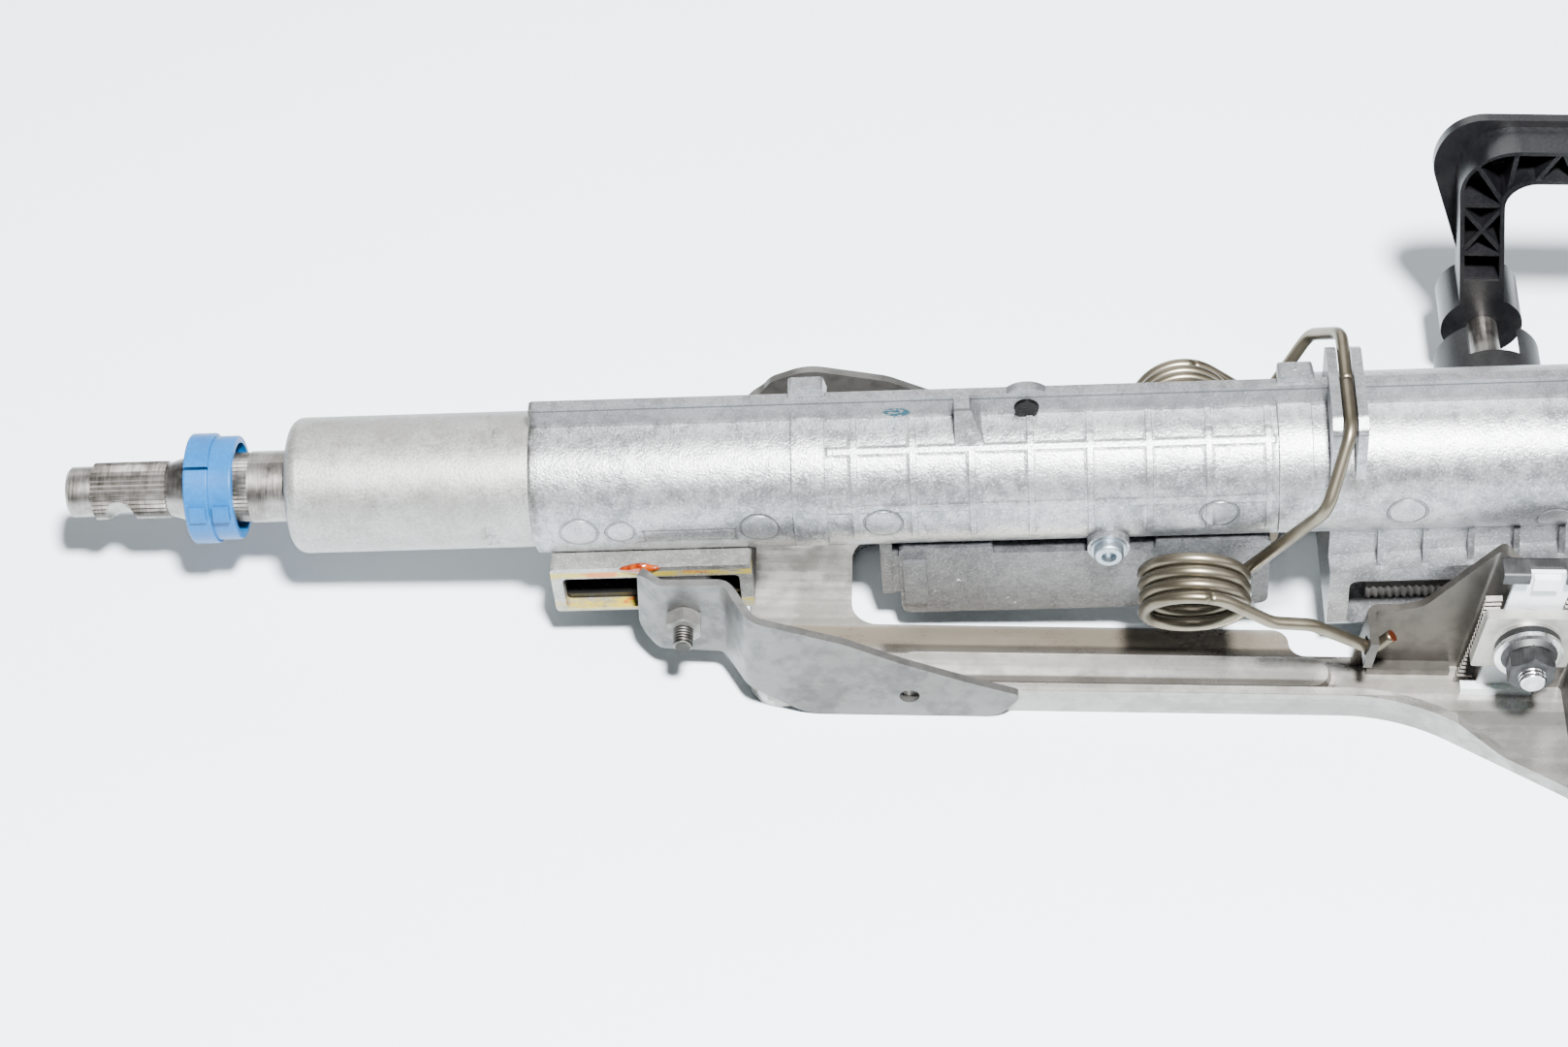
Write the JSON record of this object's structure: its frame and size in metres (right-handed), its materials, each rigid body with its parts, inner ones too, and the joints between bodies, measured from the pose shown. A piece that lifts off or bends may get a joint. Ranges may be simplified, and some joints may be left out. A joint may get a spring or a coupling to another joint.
{
  "type": "adjustable steering column",
  "caption": "Steering column on its mounting bracket, with sliding pivot, toothed tilt and reach clamp, cam lever, lock and balance spring.",
  "frame": {"origin": "middle of the front cross plate on the bracket's mounting face, half way between the front bolt holes", "axes": "+X along the bracket towards the steering wheel, +Y across it to the lever's side, +Z away from the mounting face"},
  "size_m": [0.6086, 0.2, 0.111],
  "materials": {
    "zinc_steel": "satin",
    "arm_steel": "satin",
    "cheek_steel": "satin",
    "cast": "satin",
    "tube": "matte",
    "bright": "polished",
    "rolled": "satin",
    "dark_steel": "satin",
    "spring": "satin",
    "white_plastic": "satin",
    "black_plastic": "satin",
    "lever_plastic": "satin",
    "blue_plastic": "satin",
    "screw_zinc": "satin",
    "block_steel": "matte",
    "foam": "matte",
    "bearing": "polished"
  },
  "bodies": {
    "bracket": {"mounting_bracket": "zinc_steel", "near_pivot_arm": "arm_steel", "far_pivot_arm": "arm_steel", "near_clamp_cheek": "cheek_steel", "far_clamp_cheek": "cheek_steel", "tilt_guides": "white_plastic", "guide_clips": "dark_steel", "pivot_studs": "bright", "pivot_nuts": "rolled", "foam_pad": "foam"},
    "carriage": {"pivot_sliders": "black_plastic", "balance_spring": "spring"},
    "column": {"column_casing": "cast", "guide_channel": "cast", "rack_housing": "cast", "reach_rack": "block_steel", "jacket_tube": "tube", "lock_housing": "cast", "lock_cover": "cast", "lock_mounting_screw": "screw_zinc", "lower_bearing_outer_race": "bearing", "upper_bearing_outer_race": "bearing", "bearing_circlip": "dark_steel"},
    "steering": {"lower_shaft": "rolled", "upper_shaft": "rolled", "shaft_ring": "blue_plastic", "lock_ring": "rolled", "lower_bearing_inner_race": "bearing", "upper_bearing_inner_race": "bearing", "lower_bearing_balls": "bearing", "upper_bearing_balls": "bearing"},
    "lock_pin": {"lock_bolt": "bright"},
    "clamp_near": {"clamp_bolt": "bright", "clamp_nut": "dark_steel", "near_washer": "bright", "thrust_washer": "black_plastic", "flange_washer": "bright", "near_tilt_block": "block_steel", "near_reach_block": "block_steel"},
    "clamp_far": {"far_tilt_block": "block_steel", "far_reach_block": "block_steel", "cam_washer": "rolled", "fixed_cam": "rolled"},
    "lever": {"lever": "lever_plastic", "moving_cam": "rolled", "cam_cover": "black_plastic"}
  },
  "joints": [
    {"name": "tilt", "type": "hinge", "parent": "bracket", "child": "carriage", "pos_m": [-0.03295, 0, 0.02856], "axis": [0, -1, 0], "range_deg": [-2.31, 0.92], "deforming": ["balance_spring"]},
    {"name": "reach", "type": "slide", "parent": "carriage", "child": "column", "axis": [0.9978, 0, 0.0663], "range_m": [-0.00645, 0.02795]},
    {"name": "steer", "type": "hinge", "parent": "column", "child": "steering", "pos_m": [0, 0, 0.0545], "axis": [0.9978, 0, 0.0663], "continuous": true},
    {"name": "lock", "type": "slide", "parent": "column", "child": "lock_pin", "axis": [-0.0663, 0, 0.9978], "range_m": [0, 0.0038]},
    {"name": "lever_swing", "type": "hinge", "parent": "carriage", "child": "lever", "pos_m": [0.21546, 0, 0.03203], "axis": [0, -1, 0], "range_deg": [0, 70]},
    {"name": "clamp_pull", "type": "slide", "parent": "carriage", "child": "clamp_near", "axis": [0, -1, 0], "range_m": [-0.00002, 0.00067]},
    {"name": "clamp_push", "type": "slide", "parent": "carriage", "child": "clamp_far", "axis": [0, 1, 0], "range_m": [-0.00002, 0.00067]}
  ],
  "couplings": [
    {"joint": "clamp_pull", "follows": "lever_swing", "m_per_rad": 0.00053203},
    {"joint": "clamp_push", "follows": "lever_swing", "m_per_rad": 0.00053203}
  ]
}
